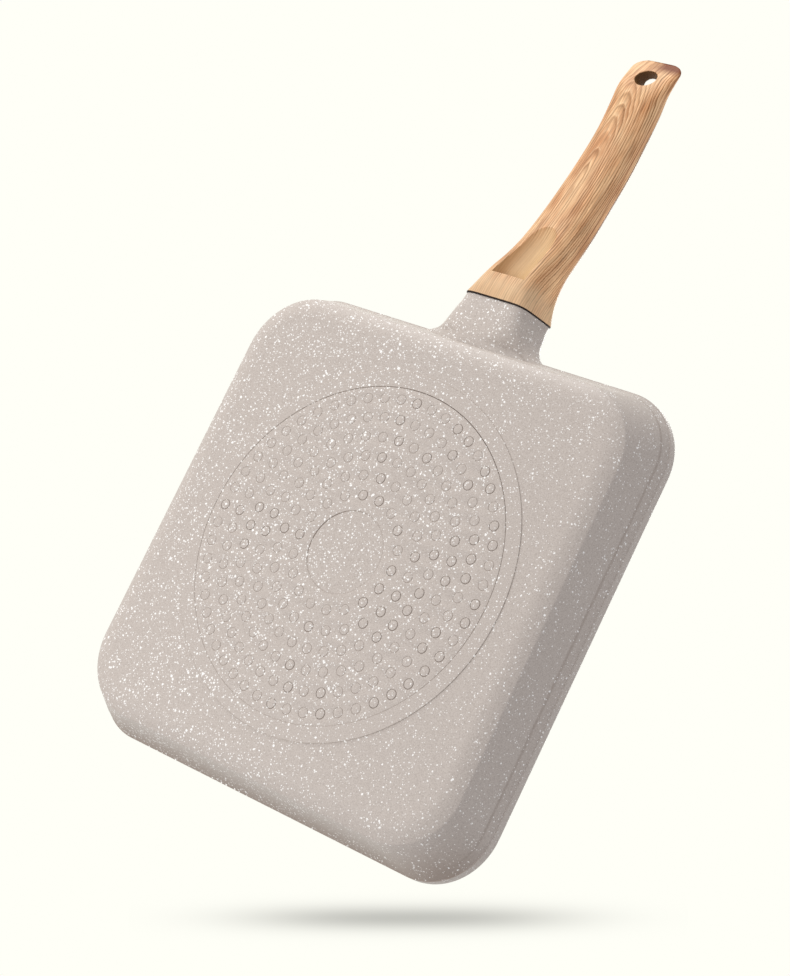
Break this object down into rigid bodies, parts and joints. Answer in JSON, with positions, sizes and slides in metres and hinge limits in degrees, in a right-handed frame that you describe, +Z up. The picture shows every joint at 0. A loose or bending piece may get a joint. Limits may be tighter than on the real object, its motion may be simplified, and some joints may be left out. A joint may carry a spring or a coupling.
{
  "type": "steak grill pan",
  "caption": "Square cast grill pan with a ridged cooking floor, a perforated steel disc let into its base and a moulded wood-effect handle with a finger recess and a hanging hole.",
  "frame": {"origin": "middle of the pan's underside, on the flat round island that the plate goes round", "axes": "+Z up out of the cooking well, +Y along the handle towards its tip, +X to the right seen from above with the handle away"},
  "size_m": [0.28, 0.4845, 0.0742],
  "materials": {
    "stone_coated_aluminium": "die cast, with a satin beige non-stick coating full of pale speckles",
    "coated_base_steel": "perforated sheet under the same satin beige speckled coating as the casting",
    "wood_effect_phenolic": "moulded phenolic plastic under a satin wood-grain film of honey oak",
    "dark_silicone": "matt moulded silicone rubber",
    "zinc_plated_steel": "bright zinc plating"
  },
  "bodies": {
    "root": {"pan_body": "stone_coated_aluminium", "induction_plate": "coated_base_steel", "handle_grip": "wood_effect_phenolic", "neck_gasket": "dark_silicone", "handle_screw": "zinc_plated_steel", "flat_washer": "zinc_plated_steel", "spring_washer": "zinc_plated_steel"}
  },
  "joints": []
}
